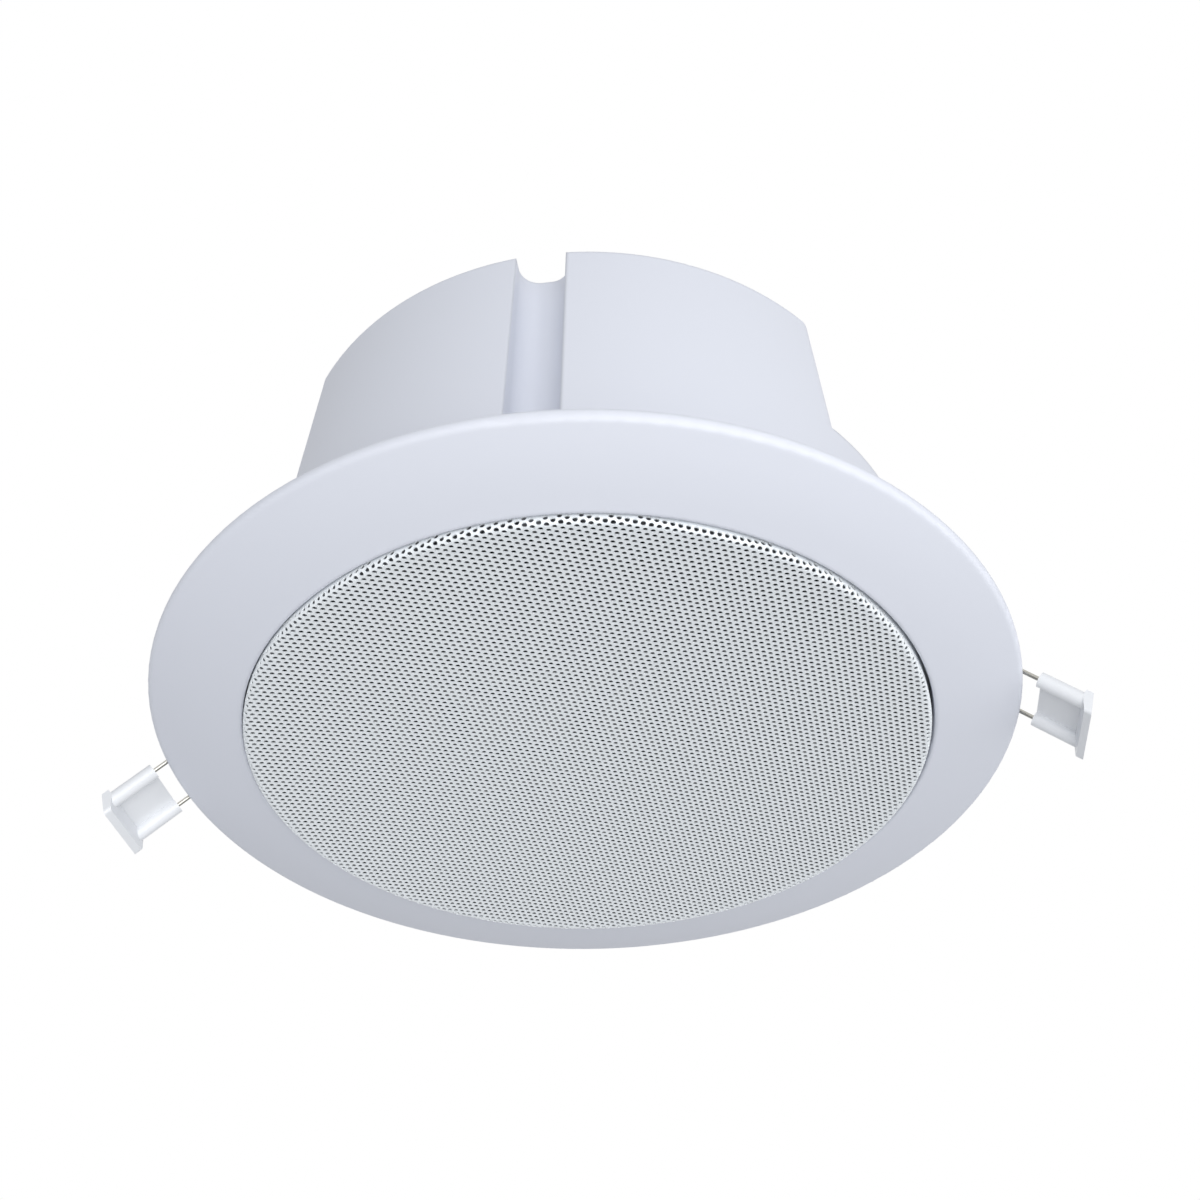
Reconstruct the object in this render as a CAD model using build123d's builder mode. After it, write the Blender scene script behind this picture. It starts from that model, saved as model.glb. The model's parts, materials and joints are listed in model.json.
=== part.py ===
from build123d import *

import os
from math import asin, atan2, cos, hypot, radians, sin, sqrt, tan

# A round in-ceiling loudspeaker with a closed back can and two sprung fixing clips.
# Z is up into the ceiling void, Z = 0 is the ceiling's face, X runs through the clips. Millimetres.

# Bezel: the round moulding with the visible flange, the grille's recess and the baffle
opening_radius = 91.1
flange_width = 23.9
rim_thickness = 3.2
rim_round = 1.5
face_drop = 8.0
face_crown = 0.5
inner_edge_round = 0.6
bezel_wall = 2.8
lip_width = 6.4
relief_reach = 4.0
relief_depth = 0.5
relief_clearance = 0.6
collar_wall = 4.1
baffle_front = 2.0
baffle_thickness = 3.0
locating_rib_height = 3.0
locating_rib_width = 1.6
locating_clearance = 0.3

# Back can: round below, with a flat on each side above a ledge and a screw channel front and rear
can_inset = 0.5
can_height = 90.2
can_wall = 2.5
can_draft = 2.2
ledge_rise = 42.4
flat_distance = 72.6
flat_corner_round = 5.0
can_top_round = 1.4
channel_depth = 9.0
channel_width = 13.6
channel_floor_round = 5.4
channel_lip_round = 2.0
channel_foot = 3.0

# Fasteners
can_screw_radius = 1.75
can_screw_head_radius = 3.5
can_screw_head_height = 2.4
can_screw_length = 11.0
driver_screw_radius = 1.5
driver_screw_head_radius = 3.0
driver_screw_head_height = 2.0
driver_screw_length = 8.0
screw_recess_width = 0.8
screw_recess_depth = 1.0
screw_clearance = 0.05
screw_hole_clearance = 0.3
boss_wall = 1.5
boss_floor = 1.2

# Grille: a dished sheet-steel pan with a rolled edge, and black cloth bonded behind it
grille_gap = 0.6
grille_sheet = 0.8
grille_proud = 1.5
grille_dish = 5.5
grille_edge_round = 1.2
grille_hole_radius = 4.0
grille_hole_pitch = 15.0
grille_hole_sides = 8
grille_hole_margin = 7.0
cloth_thickness = 0.4
cloth_margin = 1.5

# Spring clips: a double torsion spring on a pin, with a moulded cap on its two arms
pivot_standoff = 4.6
pivot_rise = 5.0
wire_radius = 0.6
ridge_radius = 0.65
ridge_sides = 6
coil_radius = 3.0
coil_turns = 3
turn_pitch = 1.0
arm_spread = 8.4
arm_lift = 0.85
pin_radius = 2.0
pin_clearance = 0.05
pin_end = 0.8
ear_radius = 4.2
ear_thickness = 3.0
ear_clearance = 0.7
cap_reach = 3.9
cap_length = 13.8
cap_rail_radius = 2.1
cap_rail_inset = 0.3
cap_web = 1.3
cap_lip_drop = 4.0
cap_lip_splay = 2.5
cap_lip_thickness = 2.0
cap_corner_round = 1.0
cap_socket_depth = 11.0
cap_socket_clearance = 0.05

# Driver: frame, moving parts and magnet, facing down
frame_clearance = 2.5
frame_sheet = 1.2
gasket_thickness = 1.0
gasket_width = 5.5
baffle_overlap = 9.0
frame_flange_width = 14.5
frame_taper_rise = 23.0
spider_seat_radius = 38.0
spider_seat_width = 8.0
frame_cup_rise = 6.0
frame_throat_radius = 16.0
window_count = 6
window_length = 15.0
window_width = 24.0
window_round = 4.0
screw_count = 4
surround_sheet = 0.8
roll_radius = 3.5
glue_line = 0.1
cone_sheet = 0.7
cone_rim = 2.6
cone_depth = 18.0
dome_radius = 17.0
dome_rise = 5.0
dome_sheet = 0.5
coil_bore = 12.5
coil_former_wall = 0.3
coil_winding_wall = 0.8
coil_winding_length = 9.5
former_stand_in = 1.0
spider_sheet = 0.5
spider_collar = 1.0
spider_waves = 4
spider_wave_rise = 1.0
plate_radius = 38.0
plate_thickness = 5.0
plate_gap = 0.6
magnet_radius = 40.0
magnet_thickness = 13.0
magnet_bore = 19.0
magnet_chamfer = 1.0
yoke_radius = 37.0
yoke_thickness = 5.0
pole_gap = 0.9
vent_radius = 4.0

# Driver tags, and the flexible leads from them to the cone
tag_board_length = 20.0
tag_board_width = 10.0
tag_board_thickness = 1.6
tag_board_round = 1.5
tag_board_inset = 1.5
tag_spread = 5.0
tag_width = 3.0
tag_sheet = 0.8
tag_height = 6.0
tinsel_radius = 0.5
tinsel_anchor_radius = 33.0
tinsel_arch = 3.0
tinsel_bend = 4.0

# Input terminal in a tray in the can's top, and the two leads inside the can
tray_length = 44.0
tray_width = 34.0
tray_depth = 12.0
tray_corner_round = 3.0
terminal_length = 30.0
terminal_width = 16.0
terminal_height = 10.0
terminal_edge_round = 0.8
terminal_corner_round = 1.5
terminal_margin = 1.0
terminal_screw_radius = 2.4
terminal_screw_height = 3.0
terminal_well_clearance = 0.3
terminal_well_depth = 5.0
terminal_entry_radius = 2.2
terminal_entry_depth = 6.0
terminal_entry_rise = 4.0
terminal_pin_radius = 1.0
terminal_pin_drop = 4.0
terminal_pin_grip = 3.0
terminal_pitch = 15.0
lead_radius = 1.1
lead_rise = 13.0
lead_over_magnet = 6.0
lead_bend = 4.0

# Places that follow from those sizes
flange_radius = opening_radius + flange_width
collar_radius = opening_radius + collar_wall
lip_inner_radius = flange_radius - rim_round - lip_width
baffle_rear = baffle_front + baffle_thickness
can_seat = baffle_rear
can_top = can_seat + can_height
can_base_radius = collar_radius - can_inset
ledge_z = can_seat + ledge_rise
draft_slope = tan(radians(can_draft))
channel_floor_radius = can_base_radius - draft_slope * can_height - channel_depth
can_screw_place = channel_floor_radius + can_screw_head_radius + screw_hole_clearance
frame_radius = channel_floor_radius - can_wall - frame_clearance
frame_front = baffle_rear + gasket_thickness
frame_back = frame_front + frame_sheet
frame_inner_radius = frame_radius - frame_flange_width
baffle_opening_radius = frame_radius - baffle_overlap
driver_screw_place = frame_radius - driver_screw_head_radius - screw_hole_clearance
motor_front = frame_back + frame_taper_rise + frame_cup_rise
magnet_front = motor_front + plate_thickness
magnet_back = magnet_front + magnet_thickness
pivot_x = can_base_radius + pivot_standoff
pivot_z = can_seat + pivot_rise
tray_floor = can_top - tray_depth
terminal_y = (tray_width - terminal_width) / 2 - terminal_margin
terminal_front = terminal_y - terminal_width / 2
terminal_screw_y = terminal_front + terminal_entry_depth - terminal_screw_radius / 2
terminal_pin_y = terminal_y + terminal_width / 4
terminal_screw_places = [(terminal_pitch / 2, terminal_screw_y), (-terminal_pitch / 2, terminal_screw_y)]
terminal_pin_places = [(terminal_pitch / 2, terminal_pin_y), (-terminal_pitch / 2, terminal_pin_y)]

os.makedirs("parts", exist_ok=True)


def save(builder, name):
    """Name the finished piece and write it as its own file"""
    builder.part.label = name
    export_step(builder.part, f"parts/{name}.step")


# Bezel
flange_edge_z = -rim_thickness
face_slope = (face_drop - rim_thickness) / flange_width


def shell_back(radius):
    """Height of the flange's hollow back at a radius"""
    return -face_drop + face_slope * (radius - opening_radius) + bezel_wall


can_boss_radius = can_screw_radius + boss_wall
can_boss_bottom = can_seat + channel_foot - can_screw_length - boss_floor
driver_boss_radius = driver_screw_radius + boss_wall
driver_boss_bottom = frame_back - driver_screw_length - boss_floor
rib_outer_radius = can_base_radius - can_wall - locating_clearance
rib_gap_width = channel_width + 2 * (can_wall + locating_clearance)

with BuildPart() as bezel:
    with BuildSketch(Plane.XZ) as bezel_profile:
        with BuildLine():
            face_start = (opening_radius, -face_drop)
            face_end = (flange_radius, flange_edge_z)
            face_middle = (opening_radius + flange_width / 2, (flange_edge_z - face_drop) / 2 - face_crown)
            ThreePointArc(face_start, face_middle, face_end)
            Polyline(
                face_end,
                (flange_radius, 0),
                (lip_inner_radius, 0),
                (lip_inner_radius, shell_back(lip_inner_radius)),
                (collar_radius, shell_back(collar_radius)),
                (collar_radius, baffle_rear),
                (baffle_opening_radius, baffle_rear),
                (baffle_opening_radius, baffle_front),
                (opening_radius, baffle_front),
                face_start,
            )
        make_face()
        fillet(bezel_profile.vertices().group_by(Axis.X)[-1], rim_round)
        fillet(bezel_profile.vertices().sort_by(Axis.Y)[0], inner_edge_round)
    revolve(axis=Axis.Z)
    # a low rib centres the can, open where the can's channels come down
    with BuildSketch(Plane.XY.offset(baffle_rear)):
        Circle(rib_outer_radius)
        Circle(rib_outer_radius - locating_rib_width, mode=Mode.SUBTRACT)
        Rectangle(rib_gap_width, 2 * can_base_radius, mode=Mode.SUBTRACT)
    extrude(amount=locating_rib_height)
    # a shallow relief in the lip's back under each arm of the clips
    with BuildSketch(Plane.XY):
        with Locations(*[(x * flange_radius, y * arm_spread) for x in (1, -1) for y in (1, -1)]):
            Rectangle(2 * relief_reach, 2 * (wire_radius + relief_clearance))
    extrude(amount=-relief_depth, mode=Mode.SUBTRACT)
    # screw bosses behind the grille, for the can and for the driver
    with BuildSketch(Plane.XY.offset(can_boss_bottom)):
        with PolarLocations(can_screw_place, 2, start_angle=90):
            Circle(can_boss_radius)
    extrude(amount=baffle_front - can_boss_bottom)
    with BuildSketch(Plane.XY.offset(driver_boss_bottom)):
        with PolarLocations(driver_screw_place, screw_count, start_angle=45):
            Circle(driver_boss_radius)
    extrude(amount=baffle_front - driver_boss_bottom)
    with BuildSketch(Plane.XY.offset(baffle_rear)):
        with PolarLocations(can_screw_place, 2, start_angle=90):
            Circle(can_screw_radius + screw_clearance)
    extrude(amount=can_boss_bottom + boss_floor - baffle_rear, mode=Mode.SUBTRACT)
    with BuildSketch(Plane.XY.offset(baffle_rear)):
        with PolarLocations(driver_screw_place, screw_count, start_angle=45):
            Circle(driver_screw_radius + screw_clearance)
    extrude(amount=driver_boss_bottom + boss_floor - baffle_rear, mode=Mode.SUBTRACT)
save(bezel, "bezel")

# Grille
grille_radius = opening_radius - grille_gap
grille_rim_z = -face_drop - grille_proud
grille_centre_z = grille_rim_z + grille_dish
hole_row_pitch = grille_hole_pitch * sqrt(3) / 2
hole_limit = grille_radius - grille_edge_round - grille_hole_margin
hole_rows = range(-int(hole_limit // hole_row_pitch), int(hole_limit // hole_row_pitch) + 1)
hole_columns = range(-int(hole_limit // grille_hole_pitch) - 1, int(hole_limit // grille_hole_pitch) + 2)
hole_grid = [
    ((column + row % 2 / 2) * grille_hole_pitch, row * hole_row_pitch)
    for row in hole_rows
    for column in hole_columns
]
hole_centres = [centre for centre in hole_grid if hypot(*centre) < hole_limit]


def pan(radius, rise, edge_round):
    """A solid pan up to the baffle, dished below, raised by the sheet's thickness for its inside"""
    centre = (0, grille_centre_z + rise)
    corner = (radius, grille_rim_z + rise)
    half_point = (radius / 2, grille_centre_z + rise - grille_dish / 4)
    with BuildPart() as solid:
        with BuildSketch(Plane.XZ) as profile:
            with BuildLine():
                ThreePointArc(centre, half_point, corner)
                Polyline(corner, (radius, baffle_front), (0, baffle_front), centre)
            make_face()
            fillet(profile.vertices().group_by(Axis.X)[-1].sort_by(Axis.Y)[0], edge_round)
        revolve(axis=Axis.Z)
    return solid.part


pan_outside = pan(grille_radius, 0, grille_edge_round)
pan_inside = pan(grille_radius - grille_sheet, grille_sheet, grille_edge_round - grille_sheet)
with BuildPart() as grille:
    add(pan_outside)
    add(pan_inside, mode=Mode.SUBTRACT)
    with BuildSketch(Plane.XY.offset(grille_rim_z)):
        with Locations(hole_centres):
            RegularPolygon(grille_hole_radius, grille_hole_sides)
    extrude(amount=grille_dish + grille_sheet, mode=Mode.SUBTRACT)
save(grille, "grille")

cloth_radius = grille_radius - grille_edge_round - cloth_margin
cloth_rise = grille_sheet + glue_line
with BuildPart() as grille_cloth:
    add(pan(grille_radius - grille_sheet, cloth_rise, grille_edge_round))
    add(pan(grille_radius - grille_sheet, cloth_rise + cloth_thickness, grille_edge_round), mode=Mode.SUBTRACT)
    with BuildSketch(Plane.XY.offset(grille_rim_z)):
        Circle(cloth_radius)
    extrude(amount=baffle_front - grille_rim_z, mode=Mode.INTERSECT)
save(grille_cloth, "grille_cloth")


# Back can
def can_radius(z):
    """Radius of the drafted wall at a height"""
    return can_base_radius - draft_slope * (z - can_seat)


def can_section(z, inset, with_flats, with_channels=True):
    """The can's outline at a height, or its cavity's when inset is the wall"""
    radius = can_radius(z) - inset
    flat = flat_distance - draft_slope * (z - ledge_z) - inset
    half_width = channel_width / 2 + inset
    floor = channel_floor_radius - inset
    with BuildSketch(Plane.XY.offset(z)) as section:
        Circle(radius)
        if with_flats:
            Rectangle(2 * flat, 2 * radius, mode=Mode.INTERSECT)
            fillet(section.vertices(), flat_corner_round)
        if with_channels:
            with PolarLocations(floor, 2, start_angle=90):
                Rectangle(radius, 2 * half_width, align=(Align.MIN, Align.CENTER), mode=Mode.SUBTRACT)
            corners = section.vertices().sort_by(lambda corner: abs(corner.X))[:8]
            corners = corners.sort_by(lambda corner: abs(corner.Y))
            fillet(corners[:4], channel_floor_round + inset)
            if not inset:
                fillet(corners[4:], channel_lip_round)
    return section.sketch


def can_form(inset):
    """The can's outer form, or its cavity when inset is the wall"""
    channel_bottom = can_seat if inset else can_seat + channel_foot
    step_z = ledge_z - inset
    with BuildPart() as form:
        if not inset:
            loft([can_section(z, inset, False, False) for z in (can_seat, channel_bottom)], ruled=True)
        loft([can_section(z, inset, False) for z in (channel_bottom, step_z)], ruled=True)
        loft([can_section(z, inset, True) for z in (step_z, can_top - inset)], ruled=True)
    return form.part


can_outside = can_form(0)
can_cavity = can_form(can_wall)
ear_inner_y = arm_spread + wire_radius + ear_clearance
ear_outer_y = ear_inner_y + ear_thickness
ear_root_x = sqrt(can_radius(pivot_z + ear_radius) ** 2 - ear_outer_y**2) - can_wall / 2

with BuildPart() as back_can:
    add(can_outside)
    fillet(back_can.faces().sort_by(Axis.Z)[-1].outer_wire().edges(), can_top_round)
    add(can_cavity, mode=Mode.SUBTRACT)
    # the tray for the input terminal hangs from the top
    with BuildSketch(Plane.XY.offset(tray_floor - can_wall)):
        RectangleRounded(tray_length + 2 * can_wall, tray_width + 2 * can_wall, tray_corner_round + can_wall)
    extrude(amount=tray_depth)
    with BuildSketch(Plane.XY.offset(tray_floor)):
        RectangleRounded(tray_length, tray_width, tray_corner_round)
    extrude(amount=tray_depth, mode=Mode.SUBTRACT)
    with BuildSketch(Plane.XY.offset(tray_floor)):
        with Locations(*terminal_pin_places):
            Circle(terminal_pin_radius + screw_hole_clearance)
    extrude(amount=-can_wall, mode=Mode.SUBTRACT)
    # a screw hole in the foot of each channel
    with BuildSketch(Plane.XY.offset(can_seat)):
        with PolarLocations(can_screw_place, 2, start_angle=90):
            Circle(can_screw_radius + screw_hole_clearance)
    extrude(amount=channel_foot, mode=Mode.SUBTRACT)
    # two ears on each side carry a clip's pin
    for side in (1, -1):
        for ear_y in (-ear_inner_y, ear_outer_y):
            with BuildSketch(Plane.XZ.offset(-ear_y)):
                with Locations((side * pivot_x, pivot_z)):
                    Circle(ear_radius)
                with Locations((side * ear_root_x, pivot_z)):
                    Rectangle(can_wall / 2, 2 * ear_radius)
                make_hull()
                with Locations((side * pivot_x, pivot_z)):
                    Circle(pin_radius + pin_clearance, mode=Mode.SUBTRACT)
            extrude(amount=ear_thickness)
save(back_can, "back_can")


# Screws
def screws(name, places, seat, radius, head_radius, head_height, length):
    """A set of pan-head cross-recessed screws that point down from their seat"""
    with BuildPart() as group:
        with BuildSketch(Plane.XY.offset(seat)):
            with Locations(*places):
                Circle(head_radius)
        extrude(amount=head_height)
        fillet(group.edges().group_by(Axis.Z)[-1], head_height / 2)
        with BuildSketch(Plane.XY.offset(seat)):
            with Locations(*places):
                Circle(radius)
        extrude(amount=-length)
        with BuildSketch(Plane.XY.offset(seat + head_height)):
            with Locations(*places):
                Rectangle(head_radius, screw_recess_width)
                Rectangle(screw_recess_width, head_radius)
        extrude(amount=-screw_recess_depth, mode=Mode.SUBTRACT)
    save(group, name)


screws(
    "can_screws",
    [(0, can_screw_place), (0, -can_screw_place)],
    can_seat + channel_foot,
    can_screw_radius,
    can_screw_head_radius,
    can_screw_head_height,
    can_screw_length,
)
driver_screw_offset = driver_screw_place / sqrt(2)
screws(
    "driver_screws",
    [(x * driver_screw_offset, y * driver_screw_offset) for x in (1, -1) for y in (1, -1)],
    frame_back,
    driver_screw_radius,
    driver_screw_head_radius,
    driver_screw_head_height,
    driver_screw_length,
)

# Spring clips, alike on both sides
lip_edge = (flange_radius - rim_round - pivot_x, arm_lift + wire_radius - pivot_z)
arm_angle = asin(coil_radius / hypot(*lip_edge)) - atan2(lip_edge[1], lip_edge[0])
arm_x = pivot_x + coil_radius * sin(arm_angle)
arm_z = pivot_z + coil_radius * cos(arm_angle)
cap_start = (flange_radius + cap_reach - arm_x) / cos(arm_angle)
cap_tip = cap_start + cap_length
cap_half_width = arm_spread + cap_rail_radius
socket_end = cap_start + cap_socket_depth

for side, sign in (("left", -1), ("right", 1)):
    arm_start = (sign * arm_x, 0, arm_z)
    along = (sign * cos(arm_angle), 0, -sin(arm_angle))
    above = (sign * sin(arm_angle), 0, cos(arm_angle))
    across_arm = Plane(arm_start, x_dir=(0, 1, 0), z_dir=along)
    over_arm = Plane(arm_start, x_dir=along, z_dir=above)
    beside_arm = Plane(arm_start, x_dir=along, z_dir=(0, -sign, 0))
    pivot = Axis((sign * pivot_x, 0, pivot_z), (0, 1, 0))
    turn_places = [(arm_spread - turn * turn_pitch, 0) for turn in range(coil_turns)]

    with BuildPart() as clip_pin:
        with BuildSketch(Plane.XZ.offset(-ear_outer_y - pin_end)):
            with Locations((sign * pivot_x, pivot_z)):
                Circle(pin_radius)
        extrude(amount=2 * (ear_outer_y + pin_end))
        chamfer(clip_pin.edges().filter_by(GeomType.CIRCLE), pin_end / 2)
    save(clip_pin, f"{side}_clip_pin")

    with BuildPart() as clip_spring:
        with BuildSketch(across_arm):
            with Locations((arm_spread, 0), (-arm_spread, 0)):
                Circle(wire_radius)
        extrude(amount=socket_end - wire_radius)
        # the close-wound turns read as ridges on one sleeve
        with BuildSketch(across_arm):
            with Locations(*turn_places, *[(-y, z) for y, z in turn_places]):
                RegularPolygon(ridge_radius, ridge_sides)
        revolve(axis=pivot)
        with BuildSketch(Plane.XZ.offset(-turn_places[-1][0])):
            bridge_x = sign * (2 * pivot_x - arm_x)
            with Locations((bridge_x, 2 * pivot_z - arm_z)):
                Circle(wire_radius)
        extrude(amount=2 * turn_places[-1][0])
    save(clip_spring, f"{side}_clip_spring")

    with BuildPart() as clip_cap:
        with BuildSketch(across_arm.offset(cap_start)):
            with Locations((arm_spread, 0), (-arm_spread, 0)):
                Circle(cap_rail_radius)
        extrude(amount=cap_length - cap_rail_inset)
        with BuildSketch(over_arm.offset(cap_rail_radius - cap_web)):
            with Locations((cap_start, 0)):
                Rectangle(cap_length, 2 * arm_spread, align=(Align.MIN, Align.CENTER))
        extrude(amount=cap_web)
        with BuildSketch(beside_arm):
            with BuildLine():
                Polyline(
                    (cap_tip - cap_lip_thickness, cap_rail_radius),
                    (cap_tip, cap_rail_radius),
                    (cap_tip + cap_lip_splay, -cap_lip_drop),
                    (cap_tip + cap_lip_splay - cap_lip_thickness, -cap_lip_drop),
                    (cap_tip - cap_lip_thickness, 0),
                    close=True,
                )
            make_face()
        extrude(amount=cap_half_width, both=True)
        tip_face = clip_cap.faces().sort_by(Axis(arm_start, along))[-1]
        fillet(tip_face.edges().filter_by(Axis.Y, reverse=True), cap_corner_round)
        with BuildSketch(across_arm.offset(cap_start)):
            with Locations((arm_spread, 0), (-arm_spread, 0)):
                Circle(wire_radius + cap_socket_clearance)
        extrude(amount=cap_socket_depth, mode=Mode.SUBTRACT)
    save(clip_cap, f"{side}_clip_cap")

# Driver frame, with windows between its legs
cone_rim_outer = frame_inner_radius - 2 * roll_radius
cone_rim_inner = cone_rim_outer - cone_rim
cone_front = frame_front + glue_line
cone_neck_radius = coil_bore + coil_former_wall + glue_line
cone_neck_z = cone_front + cone_depth
frame_landing = frame_front + frame_taper_rise
frame_cup_radius = spider_seat_radius - spider_seat_width

with BuildPart() as driver_frame:
    with BuildSketch(Plane.XZ):
        with BuildLine():
            Polyline(
                (frame_radius, frame_front),
                (frame_inner_radius, frame_front),
                (spider_seat_radius, frame_landing),
                (frame_cup_radius, frame_landing),
                (frame_cup_radius, frame_landing + frame_cup_rise),
                (frame_throat_radius, frame_landing + frame_cup_rise),
            )
            offset(amount=frame_sheet, side=Side.RIGHT, kind=Kind.INTERSECTION)
        make_face()
    revolve(axis=Axis.Z)
    with BuildSketch(Plane.XY.offset(frame_back)):
        with PolarLocations((frame_inner_radius + spider_seat_radius) / 2, window_count):
            RectangleRounded(window_length, window_width, window_round)
    extrude(amount=frame_taper_rise, mode=Mode.SUBTRACT)
    with BuildSketch(Plane.XY.offset(frame_front)):
        with PolarLocations(driver_screw_place, screw_count, start_angle=45):
            Circle(driver_screw_radius + screw_hole_clearance)
    extrude(amount=frame_sheet, mode=Mode.SUBTRACT)
save(driver_frame, "driver_frame")

with BuildPart() as driver_gasket:
    with BuildSketch(Plane.XY.offset(baffle_rear)):
        Circle(frame_radius)
        Circle(frame_radius - gasket_width, mode=Mode.SUBTRACT)
        with PolarLocations(driver_screw_place, screw_count, start_angle=45):
            Circle(driver_screw_radius + screw_hole_clearance, mode=Mode.SUBTRACT)
    extrude(amount=gasket_thickness)
save(driver_gasket, "driver_gasket")

# Surround, cone and dust cap
surround_middle = frame_front - surround_sheet / 2
roll_centre = frame_inner_radius - roll_radius
surround_outer = frame_radius - gasket_width - locating_clearance

with BuildPart() as surround:
    with BuildSketch(Plane.XZ):
        with Locations((roll_centre, surround_middle)):
            Circle(roll_radius + surround_sheet / 2)
            Circle(roll_radius - surround_sheet / 2, mode=Mode.SUBTRACT)
        with Locations((roll_centre, frame_front)):
            Rectangle(4 * roll_radius, 4 * roll_radius, align=(Align.CENTER, Align.MIN), mode=Mode.SUBTRACT)
        with Locations((frame_inner_radius, surround_middle)):
            Rectangle(surround_outer - frame_inner_radius, surround_sheet, align=(Align.MIN, Align.CENTER))
        with Locations((cone_rim_outer, surround_middle)):
            Rectangle(cone_rim, surround_sheet, align=(Align.MAX, Align.CENTER))
    revolve(axis=Axis.Z)
save(surround, "surround")

with BuildPart() as cone:
    with BuildSketch(Plane.XZ):
        with BuildLine():
            Polyline(
                (cone_rim_outer, cone_front),
                (cone_rim_inner, cone_front),
                (cone_neck_radius, cone_neck_z),
            )
            offset(amount=cone_sheet, side=Side.RIGHT, kind=Kind.INTERSECTION)
        make_face()
    revolve(axis=Axis.Z)
save(cone, "cone")

cone_slope = cone_depth / (cone_rim_inner - cone_neck_radius)
dome_edge_z = cone_front + cone_slope * (cone_rim_inner - dome_radius) - glue_line - dome_sheet


def dome_arc(lift):
    """The dust cap's section through its edge and its crown, lifted by the sheet for its inside"""
    edge = (dome_radius, dome_edge_z + lift)
    crown = (0, dome_edge_z + lift - dome_rise)
    half_way = (dome_radius / 2, dome_edge_z + lift - dome_rise * 3 / 4)
    return ThreePointArc(crown, half_way, edge)


with BuildPart() as dust_cap:
    with BuildSketch(Plane.XZ):
        with BuildLine():
            front_arc = dome_arc(0)
            back_arc = dome_arc(dome_sheet)
            Line(front_arc @ 0, back_arc @ 0)
            Line(front_arc @ 1, back_arc @ 1)
        make_face()
    revolve(axis=Axis.Z)
save(dust_cap, "dust_cap")

# Voice coil: a paper former with the winding on its end, in the magnet's gap
winding_middle = motor_front + plate_thickness / 2
winding_back = winding_middle + coil_winding_length / 2
former_radius = coil_bore + coil_former_wall
former_front = cone_neck_z - former_stand_in

with BuildPart() as voice_coil:
    with BuildSketch(Plane.XZ):
        with Locations((coil_bore, former_front)):
            Rectangle(coil_former_wall, winding_back - former_front, align=Align.MIN)
        with Locations((former_radius, winding_back)):
            Rectangle(coil_winding_wall, coil_winding_length, align=(Align.MIN, Align.MAX))
    revolve(axis=Axis.Z)
save(voice_coil, "voice_coil")

# Spider: a corrugated cloth disc between the voice coil and the frame
spider_inner = former_radius + glue_line
spider_flat = frame_cup_radius + glue_line
spider_outer = spider_seat_radius - glue_line
spider_wave_start = spider_inner + spider_collar
wave_step = (spider_flat - spider_wave_start) / (2 * spider_waves)
spider_front = frame_landing - glue_line - spider_sheet
wave_points = [
    (spider_wave_start + step * wave_step, spider_front - (step % 2) * spider_wave_rise)
    for step in range(2 * spider_waves + 1)
]

with BuildPart() as spider:
    with BuildSketch(Plane.XZ):
        with BuildLine():
            Polyline((spider_inner, spider_front), *wave_points, (spider_outer, spider_front))
            offset(amount=spider_sheet, side=Side.LEFT, kind=Kind.INTERSECTION)
        make_face()
    revolve(axis=Axis.Z)
save(spider, "spider")

# Magnet between a front plate and a yoke with the centre pole
with BuildPart() as front_plate:
    with BuildSketch(Plane.XY.offset(motor_front)):
        Circle(plate_radius)
        Circle(former_radius + coil_winding_wall + plate_gap, mode=Mode.SUBTRACT)
    extrude(amount=plate_thickness)
save(front_plate, "front_plate")

with BuildPart() as magnet:
    with BuildSketch(Plane.XY.offset(magnet_front)):
        Circle(magnet_radius)
        Circle(magnet_bore, mode=Mode.SUBTRACT)
    extrude(amount=magnet_thickness)
    chamfer(magnet.edges().filter_by(GeomType.CIRCLE).sort_by(SortBy.RADIUS)[-2:], magnet_chamfer)
save(magnet, "magnet")

with BuildPart() as yoke:
    with BuildSketch(Plane.XY.offset(magnet_back)):
        Circle(yoke_radius)
    extrude(amount=yoke_thickness)
    with BuildSketch(Plane.XY.offset(motor_front)):
        Circle(coil_bore - pole_gap)
    extrude(amount=magnet_back - motor_front)
    with BuildSketch(Plane.XY.offset(motor_front)):
        Circle(vent_radius)
    extrude(amount=magnet_back + yoke_thickness - motor_front, mode=Mode.SUBTRACT)
save(yoke, "yoke")

# Tag board on the frame's rim, its two tags, and the flexible leads to the cone
board_top = frame_back + tag_board_thickness
board_outer = frame_radius - tag_board_inset
board_middle = board_outer - tag_board_width / 2
tag_top = board_top + tag_sheet + tag_height
tag_sides = (tag_spread, -tag_spread)

with BuildPart() as tag_board:
    with BuildSketch(Plane.XY.offset(frame_back)):
        with Locations((board_middle, 0)):
            RectangleRounded(tag_board_width, tag_board_length, tag_board_round)
    extrude(amount=tag_board_thickness)
save(tag_board, "tag_board")

with BuildPart() as tags:
    with BuildSketch(Plane.XY.offset(board_top)):
        with Locations(*[(board_middle, y) for y in tag_sides]):
            Rectangle(tag_board_width, tag_width)
    extrude(amount=tag_sheet)
    with BuildSketch(Plane.XY.offset(board_top)):
        with Locations(*[(board_outer, y) for y in tag_sides]):
            Rectangle(tag_sheet, tag_width, align=(Align.MAX, Align.CENTER))
    extrude(amount=tag_sheet + tag_height)
save(tags, "tags")

tinsel_start_x = board_outer - tag_board_width
tinsel_start_z = board_top + tag_sheet + tinsel_radius
tinsel_end_z = cone_front + cone_slope * (cone_rim_inner - tinsel_anchor_radius)
tinsel_end_z += (cone_sheet + tinsel_radius) * sqrt(1 + cone_slope**2) + locating_clearance
tinsel_outer_x = frame_inner_radius - roll_radius
tinsel_middle_x = (tinsel_anchor_radius + tinsel_outer_x) / 2

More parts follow.
